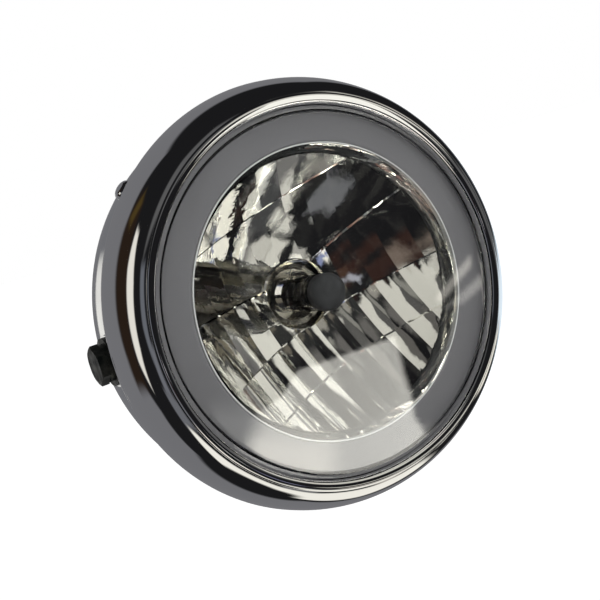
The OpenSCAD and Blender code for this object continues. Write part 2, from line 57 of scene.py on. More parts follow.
# Sizes in millimetres, as in the CAD model. A forward distance is measured
# along -Y from the side bolts, and a radius from the lamp's axis.
RIM_R, RIM_BACK, RIM_DEPTH, RIM_SHEET = 100.0, 12.0, 29.0, 1.2
NOSE_W, BEAD_R, CREASE_DEG, LIP_GAP = 16.0, 2.6, 30.0, 1.6
HEM_ROLL, HEM_RISE, HEM_REACH = 1.6, 3.2, 3.8
LENS_VIEW_R, LENS_FLANGE_R, LENS_EDGE_F = 83.7, 88.5, 35.2
DOME_RADIUS, SHOULDER_R, LENS_WALL, LENS_SEAT_R, LENS_SEAT_F = 209.0, 6.0, 3.2, 84.5, 31.8
DOME_END_R, DOME_END_F = LENS_VIEW_R - 0.3, LENS_EDGE_F + 0.4
SEAL_T, FIT_GAP = 0.8, 0.2
OPEN_R, OPEN_F, TRIM_T = 66.8, 35.5, 1.4
BOWL_R, BOWL_DEPTH, BOWL_RISE, BOWL_WALL = 62.8, 38.0, 28.7, 3.4
COLUMN_W, FLUTE, STEP_W, MIRROR_LIP = 11.3, 1.0, 0.7, 0.8
FOCAL = BOWL_R ** 2 / (4 * BOWL_RISE)
INSERT_ROLL = 14.5
NECK_R, NECK_WALL, NECK_BACK, NECK_LIP = 16.6, 3.0, 15.0, 1.6
COLLAR_IN, COLLAR_OUT, COLLAR_BACK, COLLAR_SINK = 25.5, 28.0, 19.0, 3.0
WALL_OUT, WALL_LOW, WALL_HIGH, FLANGE_T = 2.0, 8.0, 3.0, 2.2
SHELL_R, SHELL_SHEET, MOUTH_F, SHELL_BACK = 95.0, 1.2, 22.0, 80.0
ROUND_FROM, REAR_FLAT_R, WIRE_HOLE_R = 10.0, 24.0, 14.0
GLASS_R, TIP_F, GLASS_WALL, CAP_LEN, CAP_WALL, TIP_DOME = 8.3, 35.0, 1.0, 8.5, 0.3, 4.5
GLASS_SINK, GLASS_FLOOR_F = 1.5, -9.0

# Rounding and small steps of edges
LIP_EASE_R, LIP_EASE_F, HEM_EASE = 0.4, 0.1, 0.4
LENS_FILLET, LENS_CHAMFER, LENS_STEP = 0.1, 0.4, 1.1
TRIM_EASE_R, TRIM_EASE_F, TRIM_EASE_MID = 0.6, 0.5, 0.15
MIRROR_LIP_INSET, MIRROR_LIP_RISE = 0.1, 0.05

# Edges that bend by more degrees than this stay sharp
SHARP_DEG, MIRROR_SHARP_DEG = 35.0, 25.0


# Helpers for meshes

def place(r, f, angle):
    """Point at a radius, a forward distance and an angle round the axis."""
    return Vector((r * math.cos(angle), -f, r * math.sin(angle))) * MM


def mesh_object(name, verts, faces, smooth=True):
    mesh = bpy.data.meshes.new(name)
    mesh.from_pydata([tuple(v) for v in verts], [], faces)
    mesh.validate()
    mesh.update()
    if smooth:
        mesh.polygons.foreach_set("use_smooth", [True] * len(mesh.polygons))
    obj = bpy.data.objects.new(name, mesh)
    bpy.context.scene.collection.objects.link(obj)
    return obj


def add_piece(obj, mats, slot, *nodes):
    """Puts a finished piece on the body, in place of CAD nodes."""
    obj.data.materials.clear()
    obj.data.materials.append(mats[slot])
    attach(obj, BODY)
    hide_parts(*nodes)


def turned(name, section, steps=256, closed=True):
    """Turns a section of (radius, forward) points about the lamp's axis."""
    verts, faces = [], []
    count = len(section)
    axis_points = {}
    for i, (r, f) in enumerate(section):
        if r < 1e-6:
            axis_points[i] = len(verts)
            verts.append(place(0, f, 0))
    ring = {}
    for i, (r, f) in enumerate(section):
        if i not in axis_points:
            ring[i] = len(verts)
            verts += [place(r, f, 2 * math.pi * k / steps) for k in range(steps)]
    for i in range(count if closed else count - 1):
        j = (i + 1) % count
        if i in axis_points and j in axis_points:
            continue
        for k in range(steps):
            m = (k + 1) % steps
            if i in axis_points:
                faces.append((axis_points[i], ring[j] + m, ring[j] + k))
            elif j in axis_points:
                faces.append((ring[i] + k, ring[i] + m, axis_points[j]))
            else:
                faces.append((ring[i] + k, ring[i] + m, ring[j] + m, ring[j] + k))
    obj = mesh_object(name, verts, faces)
    set_edges(obj, SHARP_DEG)
    return obj


def set_edges(obj, sharp_deg, face_out=True):
    """Makes the normals face out and keeps edges over an angle sharp."""
    bm = bmesh.new()
    bm.from_mesh(obj.data)
    if face_out:
        bmesh.ops.recalc_face_normals(bm, faces=bm.faces)
    for edge in bm.edges:
        if len(edge.link_faces) == 2 and edge.calc_face_angle() > math.radians(sharp_deg):
            edge.smooth = False
    bm.to_mesh(obj.data)
    bm.free()


def oval(cr, cf, half_r, half_f, start, end, steps):
    """Points of an ellipse's arc in a section, with angles in degrees."""
    turns = [math.radians(start + (end - start) * i / steps) for i in range(steps + 1)]
    return [(cr + half_r * math.cos(a), cf + half_f * math.sin(a)) for a in turns]


def arc(cr, cf, r, start, end, steps):
    """Points of a round arc in a section, with angles in degrees."""
    return oval(cr, cf, r, r, start, end, steps)


def line(start, end, steps):
    """Points of a straight stretch in a section, with both its ends."""
    (r0, f0), (r1, f1) = start, end
    return [(r0 + (r1 - r0) * i / steps, f0 + (f1 - f0) * i / steps) for i in range(steps + 1)]


# Helpers for materials. Noise from NOISE_LOW to NOISE_HIGH spans a colour's or a number's range.
NOISE_LOW, NOISE_HIGH = 0.35, 0.7
RELIEF_DETAIL, TINT_DETAIL = 3.0, 4.0
GLASS_SHADOW = (0.92, 0.93, 0.93, 1.0)


def material(name, color, metallic=0.0, roughness=0.5, **sockets):
    mat = bpy.data.materials.new(name)
    mat.use_nodes = True
    bsdf = mat.node_tree.nodes["Principled BSDF"]
    bsdf.inputs["Base Color"].default_value = (*color, 1.0)
    bsdf.inputs["Metallic"].default_value = metallic
    bsdf.inputs["Roughness"].default_value = roughness
    for key, value in sockets.items():
        bsdf.inputs[key.replace("_", " ")].default_value = value
    return mat


def put(tree, socket, value):
    """Sets a socket to a constant, or links another node's output to it."""
    if isinstance(value, bpy.types.NodeSocket):
        tree.links.new(value, socket)
    else:
        socket.default_value = value


def node(tree, kind, *inputs, **values):
    """Adds a node. Inputs go to its sockets in order, values to sockets or settings by name."""
    made = tree.nodes.new(kind)
    for key, value in values.items():
        name = key.replace("_", " ")
        if name in made.inputs:
            put(tree, made.inputs[name], value)
        else:
            setattr(made, key, value)
    for socket, value in zip(made.inputs, inputs):
        put(tree, socket, value)
    return made


def calculate(tree, operation, *inputs):
    """Result of a Math node on numbers and other nodes' outputs."""
    return node(tree, "ShaderNodeMath", *inputs, operation=operation).outputs["Value"]


def ray_kinds(tree):
    return node(tree, "ShaderNodeLightPath").outputs


def feed(mat, socket, output):
    """Links a node's output to a socket of the material's main shader."""
    mat.node_tree.links.new(output, mat.node_tree.nodes["Principled BSDF"].inputs[socket])


def set_surface(tree, shader):
    tree.links.new(shader, tree.nodes["Material Output"].inputs["Surface"])


def object_coordinates(tree):
    return node(tree, "ShaderNodeTexCoord").outputs["Object"]


def noise_height(tree, where, scale, detail):
    made = node(tree, "ShaderNodeTexNoise", Vector=where, Scale=scale, Detail=detail)
    return made.outputs["Fac"]


def noise_bump(mat, scale, strength, distance):
    """Adds fine relief from noise to a material."""
    tree = mat.node_tree
    height = noise_height(tree, object_coordinates(tree), scale, RELIEF_DETAIL)
    bump = node(tree, "ShaderNodeBump", Height=height, Strength=strength, Distance=distance)
    feed(mat, "Normal", bump.outputs["Normal"])


def noise_range(mat, socket, scale, low, high):
    """Varies a number such as roughness over the surface."""
    tree = mat.node_tree
    height = noise_height(tree, object_coordinates(tree), scale, TINT_DETAIL)
    spread = node(tree, "ShaderNodeMapRange", Value=height, From_Min=NOISE_LOW,
                  From_Max=NOISE_HIGH, To_Min=low, To_Max=high)
    feed(mat, socket, spread.outputs["Result"])


def noise_color(mat, scale, first, second):
    """Varies the colour between two shades over the surface."""
    tree = mat.node_tree
    height = noise_height(tree, object_coordinates(tree), scale, TINT_DETAIL)
    ramp = node(tree, "ShaderNodeValToRGB", Fac=height)
    low, high = ramp.color_ramp.elements
    low.position, high.position = NOISE_LOW, NOISE_HIGH
    low.color, high.color = (*first, 1.0), (*second, 1.0)
    feed(mat, "Base Color", ramp.outputs["Color"])


def chrome_material(name, color, low, high, ripple):
    mat = material(name, color, metallic=1.0, roughness=low)
    noise_range(mat, "Roughness", 60.0, low, high)
    noise_bump(mat, 14.0, ripple, 0.0004)
    return mat


def rough_wall(mat):
    """Adds the uneven look of the mirror's wall, and a lip made paler as a painted highlight,
    outside the facets.
    """
    wall_from, wall_full = BOWL_R + 0.1, BOWL_R + 0.4
    lip_r, lip_blend, lip_highlight_metal = OPEN_R - MIRROR_LIP, 0.02, 0.3
    wall_dull = 0.08
    ripple_scale, ripple_squash, ripple_depth = 300.0, 4.0, 0.0025

    tree = mat.node_tree
    facet_normal = tree.nodes["Principled BSDF"].inputs["Normal"].links[0].from_socket
    where = object_coordinates(tree)
    flat = node(tree, "ShaderNodeVectorMath", where, (1.0, 0.0, 1.0), operation="MULTIPLY")
    length = node(tree, "ShaderNodeVectorMath", flat.outputs["Vector"], operation="LENGTH")
    radius = length.outputs["Value"]
    wall = node(tree, "ShaderNodeMapRange", Value=radius, From_Min=wall_from * MM,
                From_Max=wall_full * MM, To_Max=1.0).outputs["Result"]
    # Past the lip's radius the mirror turns less metallic and so paler, a painted highlight along
    # the lip
    lip = node(tree, "ShaderNodeMapRange", Value=radius, From_Min=(lip_r - lip_blend) * MM,
               From_Max=(lip_r + lip_blend) * MM, To_Min=1.0, To_Max=lip_highlight_metal).outputs["Result"]

    # The facets reflect the wall without its ripple
    direct = calculate(tree, "SUBTRACT", 1.0, ray_kinds(tree)["Is Glossy Ray"])
    strength = calculate(tree, "MULTIPLY", wall, direct)
    squash = node(tree, "ShaderNodeMapping", Vector=where, Scale=(1.0, ripple_squash, 1.0))
    height = noise_height(tree, squash.outputs["Vector"], ripple_scale, RELIEF_DETAIL)
    bump = node(tree, "ShaderNodeBump", Height=height, Strength=strength, Distance=ripple_depth,
                Normal=facet_normal)
    feed(mat, "Normal", bump.outputs["Normal"])
    feed(mat, "Metallic", calculate(tree, "MULTIPLY_ADD", wall, -wall_dull, lip))


def glass_material(name, color, ior):
    """Clear glass that lets the lamps' light through to the pieces behind it."""
    mat = material(name, color, roughness=0.0, IOR=ior, Transmission_Weight=1.0)
    tree = mat.node_tree
    rays = ray_kinds(tree)
    lit_through = calculate(tree, "MAXIMUM", rays["Is Shadow Ray"], rays["Is Diffuse Ray"])
    glass = tree.nodes["Principled BSDF"].outputs["BSDF"]
    clear = node(tree, "ShaderNodeBsdfTransparent", Color=GLASS_SHADOW).outputs["BSDF"]
    set_surface(tree, node(tree, "ShaderNodeMixShader", lit_through, glass, clear).outputs[0])
    return mat


def make_materials():
    made = {}
    made["rim_chrome"] = chrome_material("rim_chrome", (0.80, 0.80, 0.81), 0.03, 0.06, 0.05)
    made["shell_chrome"] = chrome_material("shell_chrome", (0.74, 0.75, 0.77), 0.06, 0.12, 0.08)
    mirror = material("reflector_mirror", (0.86, 0.86, 0.84), metallic=1.0, roughness=0.02)
    noise_range(mirror, "Roughness", 60.0, 0.01, 0.03)
    noise_bump(mirror, 160.0, 0.16, 0.0004)
    rough_wall(mirror)
    made["reflector_mirror"] = mirror

    made["lens_glass"] = glass_material("lens_glass", (0.98, 0.99, 0.99), 1.5)
    made["bulb_clear"] = glass_material("bulb_clear", (0.97, 0.97, 0.97), 1.46)

    trim = material("trim_grey", (0.19, 0.185, 0.19), roughness=0.42)
    noise_bump(trim, 700.0, 0.05, 0.0002)
    noise_color(trim, 25.0, (0.182, 0.176, 0.182), (0.198, 0.192, 0.198))
    made["trim_grey"] = trim

    rubber = material("rubber_black", (0.03, 0.03, 0.03), roughness=0.7)
    noise_bump(rubber, 400.0, 0.2, 0.0003)
    noise_color(rubber, 30.0, (0.022, 0.022, 0.022), (0.045, 0.043, 0.04))
    made["rubber_black"] = rubber

    zinc = material("zinc_steel", (0.5, 0.49, 0.45), metallic=1.0, roughness=0.35)
    noise_range(zinc, "Roughness", 120.0, 0.25, 0.5)
    noise_color(zinc, 90.0, (0.42, 0.43, 0.40), (0.58, 0.56, 0.50))
    made["zinc_steel"] = zinc

    spring = material("spring_steel", (0.4, 0.4, 0.4), metallic=1.0, roughness=0.25)
    noise_range(spring, "Roughness", 150.0, 0.18, 0.35)
    made["spring_steel"] = spring

    bolt = material("bolt_steel", (0.07, 0.08, 0.07), metallic=0.8, roughness=0.4)
    noise_range(bolt, "Roughness", 180.0, 0.3, 0.55)
    noise_color(bolt, 160.0, (0.012, 0.016, 0.015), (0.07, 0.07, 0.06))
    noise_bump(bolt, 250.0, 0.5, 0.0006)
    made["bolt_steel"] = bolt

    collar = material("collar_metal", (0.42, 0.41, 0.37), metallic=1.0, roughness=0.2)
    noise_range(collar, "Roughness", 150.0, 0.12, 0.3)
    made["collar_metal"] = collar

    cap = material("cap_black", (0.042, 0.042, 0.043), roughness=0.55)
    noise_bump(cap, 900.0, 0.15, 0.0002)
    noise_color(cap, 200.0, (0.036, 0.036, 0.037), (0.054, 0.054, 0.055))
    made["cap_black"] = cap

    base = material("base_plastic", (0.04, 0.04, 0.04), roughness=0.5)
    noise_bump(base, 500.0, 0.1, 0.0002)
    made["base_plastic"] = base

    brass = material("terminal_brass", (0.72, 0.62, 0.38), metallic=1.0, roughness=0.3)
    noise_range(brass, "Roughness", 200.0, 0.22, 0.4)
    made["terminal_brass"] = brass

    tungsten = material("tungsten", (0.3, 0.3, 0.31), metallic=1.0, roughness=0.35)
    noise_range(tungsten, "Roughness", 900.0, 0.25, 0.5)
    made["tungsten"] = tungsten
    return made


# Pieces

def nose_section(inset, crease_deg, steps):
    """Part of the rim's quarter ellipse, from its rear edge to the crease."""
    return oval(RIM_R - NOSE_W, RIM_BACK, NOSE_W - inset, RIM_DEPTH - inset, 0, crease_deg, steps)


def make_rim(mats):
    """Rim of thin sheet: hem, nose, crease, bead and the lip round the lens."""
    bead_c = LENS_VIEW_R + BEAD_R
    bead_f = RIM_BACK + RIM_DEPTH - BEAD_R
    crease_r = bead_c + BEAD_R * math.cos(math.radians(CREASE_DEG))
    crease = math.degrees(math.acos((crease_r - RIM_R + NOSE_W) / NOSE_W))
    hem_r, hem_f = RIM_R - HEM_REACH, RIM_BACK + RIM_SHEET
    lip_f = LENS_EDGE_F + LIP_GAP
    roll_end, inner_end = RIM_BACK + HEM_RISE + 0.2, hem_f + 1.0
    # The bead's arcs start a few degrees past the crease
    bead_start, inner_bead_start = CREASE_DEG + 4, CREASE_DEG + 5
    section = [(hem_r, RIM_BACK)]
    section += oval(RIM_R - HEM_ROLL, RIM_BACK + HEM_RISE, HEM_ROLL, HEM_RISE, -90, 0, 15)
    section += [p for p in nose_section(0.0, crease, 60) if p[1] > roll_end]
    section += arc(bead_c, bead_f, BEAD_R, bead_start, 180, 28)
    section += [(LENS_VIEW_R, lip_f), (LENS_VIEW_R + LIP_EASE_R, lip_f - LIP_EASE_F),
                (LENS_VIEW_R + RIM_SHEET, lip_f)]
    section += arc(bead_c, bead_f, BEAD_R - RIM_SHEET, 180, inner_bead_start, 12)
    section += [p for p in reversed(nose_section(RIM_SHEET, crease, 30)) if p[1] > inner_end]
    section += [(RIM_R - HEM_ROLL - HEM_EASE, hem_f), (hem_r, hem_f)]
    rim = turned("rim_chrome_shell", section, steps=320)
    add_piece(rim, mats, "rim_chrome", "rim")


def lens_dome(inset):
    """Points of the dome and its rounded shoulder, from the axis out."""
    shoulder_c = DOME_END_R - SHOULDER_R
    lean = math.asin(shoulder_c / (DOME_RADIUS - SHOULDER_R))
    centre = DOME_END_F - (DOME_RADIUS - SHOULDER_R) * math.cos(lean)
    meet_deg = 90 - math.degrees(lean)
    shoulder = arc(shoulder_c, DOME_END_F, SHOULDER_R - inset, meet_deg, 0, 16)
    return arc(0, centre, DOME_RADIUS - inset, 90, meet_deg, 40) + shoulder[1:]


def make_lens(mats):
    flange = [(DOME_END_R, LENS_EDGE_F + LENS_FILLET), (DOME_END_R + LENS_FILLET, LENS_EDGE_F),
              (LENS_FLANGE_R - LENS_CHAMFER, LENS_EDGE_F),
              (LENS_FLANGE_R, LENS_EDGE_F - LENS_CHAMFER),
              (LENS_FLANGE_R, LENS_SEAT_F), (LENS_SEAT_R, LENS_SEAT_F),
              (LENS_SEAT_R, LENS_SEAT_F + LENS_STEP)]
    section = lens_dome(0.0) + flange + lens_dome(LENS_WALL)[::-1]
    lens = turned("lens_clear", section, closed=False)
    add_piece(lens, mats, "lens_glass", "lens")


def make_trim(mats):
    outer_r, outer_f = LENS_SEAT_R - FIT_GAP, LENS_SEAT_F - SEAL_T
    section = [(OPEN_R, OPEN_F - TRIM_T), (OPEN_R, OPEN_F - TRIM_EASE_F),
               (OPEN_R + TRIM_EASE_MID, OPEN_F - TRIM_EASE_MID)]
    section += line((OPEN_R + TRIM_EASE_R, OPEN_F), (outer_r, outer_f + TRIM_T), 12)
    section += [(outer_r, outer_f)]
    trim = turned("trim_ring_grey", section)
    add_piece(trim, mats, "trim_grey", "trim_ring")


# Reflector, from the same rows and columns as the CAD model
APEX_F = OPEN_F - BOWL_DEPTH
ROW_LINES = [share * BOWL_R for share in (-1.15, -0.613, -0.247, 0.115, 0.717, 1.15)]
ROW_RISE = [0.0, 0.0, 0.0, 0.2, 0.0, 0.0]
ROW_SHIFT = [0.9, 0.2, 1.0, 0.3, 1.1]
ROW_FLUTE = [1.0, 1.0, 0.4, 0.06, 0.06]
ROWS = len(ROW_SHIFT)
HALF_COLUMNS = math.ceil((BOWL_R + 2) / COLUMN_W)
CELL_STEPS = 14


def bowl(r):
    """Forward distance of the plain bowl at a radius."""
    return APEX_F + r * r / (4 * FOCAL)


def row_z(j, x):
    return ROW_LINES[j] + ROW_RISE[j] * abs(x)


def grid_point(j, x, z, u):
    """Point (x, z, forward, inside) of row j, a share u across its column.

    Outside the bowl it moves onto the bowl's edge or its neck."""
    r = math.hypot(x, z)
    held = min(max(r, NECK_R), BOWL_R) if r > 0 else 0
    if r > 0:
        x, z = x * held / r, z * held / r
    flute = FLUTE * ROW_FLUTE[j] * math.sin(math.pi * u)
    return x, z, bowl(held) + ROW_SHIFT[j] + flute, NECK_R < r < BOWL_R


def add_grid(verts, faces, points):
    """Adds a grid of points, leaving out cells wholly outside the bowl."""
    start = len(verts)
    rows, cols = len(points), len(points[0])
    verts += [Vector((x, -f, z)) * MM for row in points for x, z, f, _ in row]
    for j in range(rows - 1):
        for i in range(cols - 1):
            corner = [points[j][i], points[j][i + 1], points[j + 1][i + 1], points[j + 1][i]]
            if any(c[3] for c in corner):
                low, high = start + j * cols + i, start + (j + 1) * cols + i
                faces.append((low, low + 1, high + 1, high))


def cell_point(j, column, a, b):
    """Point of one facet, a steps across it and b steps up."""
    u = a / CELL_STEPS
    x = (column + u) * COLUMN_W
    low = row_z(j, x) + (STEP_W / 2 if j > 0 else 0)
    high = row_z(j + 1, x) - (STEP_W / 2 if j + 1 < ROWS else 0)
    return grid_point(j, x, low + (high - low) * b / CELL_STEPS, u)


def facet_patches(verts, faces):
    for j in range(ROWS):
        for column in range(-HALF_COLUMNS, HALF_COLUMNS):
            add_grid(verts, faces, [[cell_point(j, column, a, b) for a in range(CELL_STEPS + 1)]
                                    for b in range(CELL_STEPS + 1)])


def step_line(j, row, side):
    """Edge of the step at row line j, on the side where the given row meets it."""
    points = []
    for i in range(2 * HALF_COLUMNS * CELL_STEPS + 1):
        x = (i / CELL_STEPS - HALF_COLUMNS) * COLUMN_W
        u = (i % CELL_STEPS) / CELL_STEPS
        points.append(grid_point(row, x, row_z(j, x) + side * STEP_W / 2, u))
    return points


def step_patches(verts, faces):
    """Narrow walls between the rows of facets."""
    for j in range(1, ROWS):
        add_grid(verts, faces, [step_line(j, j - 1, -1), step_line(j, j, 1)])


def reflector_body():
    """Neck, back, flange, lip and outer wall of the reflector."""
    seat = OPEN_F - TRIM_T
    flange_top = LENS_SEAT_F - SEAL_T
    flange_back = flange_top - FLANGE_T
    neck_out = NECK_R + NECK_WALL
    wall_gap, wall_foot = 0.02, 1.0
    lip_r = (MIRROR_LIP - MIRROR_LIP_INSET) / 2
    section = [(NECK_R, bowl(NECK_R) + NECK_LIP), (NECK_R, -NECK_BACK), (neck_out, -NECK_BACK)]
    section += [(r, bowl(r) - BOWL_WALL) for r, _ in line((neck_out, 0), (BOWL_R, 0), 16)]
    section += [(OPEN_R + WALL_OUT, seat - WALL_LOW), (OPEN_R + WALL_OUT, seat - WALL_HIGH),
                (LENS_SEAT_R, flange_back), (LENS_FLANGE_R, flange_back),
                (LENS_FLANGE_R, flange_top), (LENS_SEAT_R - FIT_GAP, flange_top), (OPEN_R, seat),
                (OPEN_R - MIRROR_LIP_INSET, seat)]
    section += arc(OPEN_R - MIRROR_LIP_INSET - lip_r, OPEN_F + MIRROR_LIP_RISE, lip_r, 0, 180, 10)
    section += [(OPEN_R - MIRROR_LIP, seat - wall_foot),
                (BOWL_R + wall_gap, bowl(BOWL_R) - wall_foot)]
    return turned("reflector_body", section, closed=False)


def reflector_collar():
    section = [(COLLAR_IN, -COLLAR_BACK), (COLLAR_OUT, -COLLAR_BACK),
               (COLLAR_OUT, bowl(COLLAR_OUT) - COLLAR_SINK),
               (COLLAR_IN, bowl(COLLAR_IN) - COLLAR_SINK)]
    return turned("reflector_collar", section, steps=128, closed=False)


def join(name, objects):
    """Joins meshes into one new object."""
    verts, faces = [], []
    for obj in objects:
        start = len(verts)
        verts += [v.co.copy() for v in obj.data.vertices]
        faces += [tuple(start + i for i in p.vertices) for p in obj.data.polygons]
    made = mesh_object(name, verts, faces)
    for obj in objects:
        bpy.data.objects.remove(obj)
    return made


def make_reflector(mats):
    verts, faces = [], []
    facet_patches(verts, faces)
    step_patches(verts, faces)
    facets = mesh_object("reflector_facets", verts, faces)
    mirror = join("reflector_mirror", [facets, reflector_body(), reflector_collar()])
    set_edges(mirror, MIRROR_SHARP_DEG, face_out=False)
    mirror.data.transform(Matrix.Rotation(math.radians(-INSERT_ROLL), 4, "Y"))
    add_piece(mirror, mats, "reflector_mirror", "reflector")


def make_shell(mats):
    rear_a = math.asin(REAR_FLAT_R / SHELL_R)
    depth = (SHELL_BACK - ROUND_FROM) / math.cos(rear_a)

    def curve(inset, steps):
        return oval(0, -ROUND_FROM, SHELL_R - inset, depth - inset,
                    0, math.degrees(rear_a) - 90, steps)

    flange = RIM_R - HEM_REACH - FIT_GAP
    section = [(flange, MOUTH_F), (flange, MOUTH_F - SHELL_SHEET), (SHELL_R, MOUTH_F - SHELL_SHEET)]
    section += curve(0.0, 48)
    section += [(WIRE_HOLE_R, -SHELL_BACK), (WIRE_HOLE_R, -SHELL_BACK + SHELL_SHEET)]
    section += reversed(curve(SHELL_SHEET, 32))
    section += [(SHELL_R - SHELL_SHEET, MOUTH_F)]
    shell = turned("bucket_chrome", section)
    add_piece(shell, mats, "shell_chrome", "bucket")


def tip_dome(r, height):
    """Dome of the bulb's tip, short of the axis by five degrees."""
    return oval(0, TIP_F - TIP_DOME, r, height, 0, 85, 17)


def make_bulb_glass(mats):
    in_r, back = GLASS_R - GLASS_WALL, -NECK_BACK - GLASS_SINK
    section = [(0, back), (GLASS_R, back)] + tip_dome(GLASS_R, TIP_DOME)
    section += [(0, TIP_F), (0, TIP_F - GLASS_WALL)]
    section += reversed(tip_dome(in_r, TIP_DOME - GLASS_WALL))
    section += [(in_r, GLASS_FLOOR_F), (0, GLASS_FLOOR_F)]
    glass = turned("bulb_quartz", section, steps=96, closed=False)
    add_piece(glass, mats, "bulb_clear", "bulb_glass")


def make_bulb_cap(mats):
    cap_r, cap_back = GLASS_R + CAP_WALL, TIP_F - CAP_LEN
    skin = 0.01
    section = [(GLASS_R + skin, cap_back), (cap_r, cap_back)]
    section += tip_dome(cap_r, TIP_DOME + CAP_WALL) + [(0, TIP_F + CAP_WALL)]
    cap = turned("bulb_black_tip", section, steps=96, closed=False)
    add_piece(cap, mats, "cap_black", "bulb_cap")


# Finish of each CAD piece that stays
CAD_FINISH = {
    "rim_chrome": ["rim_screw", "dome_screw"],
    "shell_chrome": ["left_boss", "right_boss"],
    "zinc_steel": ["rim_hook", "rim_lug", "rim_nut", "dome_nut", "left_nut", "right_nut"],
    "bolt_steel": ["left_bolt", "left_washer", "left_spring_washer",
                   "right_bolt", "right_washer", "right_spring_washer"],
    "spring_steel": ["retaining_clips", "bulb_supports", "bulb_clip"],
    "collar_metal": ["bulb_flange", "bulb_collar", "bulb_shield"],
    "tungsten": ["bulb_filaments"],
    "base_plastic": ["bulb_base"],
    "terminal_brass": ["bulb_terminals"],
    "rubber_black": ["lens_seal", "dust_boot", "wiring_grommet"],
}


def finish_cad_nodes(mats):
    for finish, names in CAD_FINISH.items():
        for name in names:
            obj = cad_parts[name]
            obj.data.materials.clear()
            obj.data.materials.append(mats[finish])


# Camera: the photograph's viewing angle, worked out from the ellipses of the rim.
# It leans by the insert's roll, because the rows of facets lie level in the picture.
YAW, TILT, ROLL = math.radians(26.3), math.radians(3.85), math.radians(INSERT_ROLL)
# Focal length in pixels, and pixels per millimetre at the rim's rear edge
FOCAL_PX, SCALE_PX = 1100.0, 2.143
# How far the lamp's axis lies right of and above the picture's middle there, in millimetres
OFFSET_RIGHT, OFFSET_UP = 4.1, 3.15
PICTURE_PX = 600.0
SENSOR_MM, NEAR_CLIP_MM = 36.0, 10.0


def camera_axes():
    """The camera's right, its up, and the way from the lamp back to it."""
    cos_t, cos_y, cos_r = math.cos(TILT), math.cos(YAW), math.cos(ROLL)
    sin_t, sin_y, sin_r = math.sin(TILT), math.sin(YAW), math.sin(ROLL)
    right = Vector((cos_t * cos_y * cos_r - sin_t * sin_r, -cos_t * sin_y,
                    -cos_t * cos_y * sin_r - sin_t * cos_r))
    up = Vector((sin_t * cos_y * cos_r + cos_t * sin_r, -sin_t * sin_y,
                 -sin_t * cos_y * sin_r + cos_t * cos_r))
    return right, up, right.cross(up)


def make_camera():
    right, up, back = camera_axes()
    target = Vector((0, -RIM_BACK, 0))
    distance = FOCAL_PX / SCALE_PX
    spot = (target - right * OFFSET_RIGHT - up * OFFSET_UP + back * distance) * MM
    data = bpy.data.cameras.new("photo_camera")
    data.sensor_width = SENSOR_MM
    data.lens = SENSOR_MM * FOCAL_PX / PICTURE_PX
    data.clip_start = NEAR_CLIP_MM * MM
    camera = bpy.data.objects.new("photo_camera", data)
    turn = Matrix((right, up, back)).transposed().to_4x4()
    camera.matrix_world = Matrix.Translation(spot) @ turn
    bpy.context.scene.collection.objects.link(camera)
    bpy.context.scene.camera = camera


# Studio: a white world, a pale floor, two soft suns, and a room and a near card
# that only gloss and glass show. Sizes here are in metres, and angles in degrees.
WORLD_LEVEL = 0.45
ROOM_R = 8.0
FLOOR_HALF, FLOOR_DROP, FLOOR_GLOW = 30.0, 0.45, 0.32
NEAR_CARD_AWAY, NEAR_CARD_DEG = 0.1, 53


def make_world():
    """White where it is seen, and plain soft light on the object."""
    world = bpy.data.worlds.new("studio_world")
    bpy.context.scene.world = world
    world.use_nodes = True
    tree = world.node_tree
    rays = ray_kinds(tree)
    first_two = calculate(tree, "MAXIMUM", rays["Is Camera Ray"], rays["Is Glossy Ray"])
    seen = calculate(tree, "MAXIMUM", first_two, rays["Is Transmission Ray"])
    level = node(tree, "ShaderNodeMapRange", Value=seen, To_Min=WORLD_LEVEL, To_Max=1.0)
    background = tree.nodes["Background"]
    background.inputs["Color"].default_value = (1.0, 1.0, 1.0, 1.0)
    tree.links.new(level.outputs["Result"], background.inputs["Strength"])


def direction(right_deg, up_deg):
    """Way from the lamp, turned right and up from the way to the camera.

    The angles are numbers, or grids of one shape."""
    right, up, back = (np.array(axis) for axis in camera_axes())
    a, e = (np.expand_dims(np.radians(angle), -1) for angle in (right_deg, up_deg))
    return back * np.cos(a) * np.cos(e) + right * np.sin(a) * np.cos(e) + up * np.sin(e)


def soft_sun(name, right_deg, up_deg, spread, strength):
    """A sun that lights the dull pieces and doesn't show in gloss or glass."""
    data = bpy.data.lights.new(name, "SUN")
    data.energy = strength
    data.angle = math.radians(spread)
    lamp = bpy.data.objects.new(name, data)
    lamp.visible_glossy = False
    lamp.visible_transmission = False
    way = Vector(direction(right_deg, up_deg))
    lamp.rotation_euler = way.to_track_quat("Z", "Y").to_euler()
    bpy.context.scene.collection.objects.link(lamp)


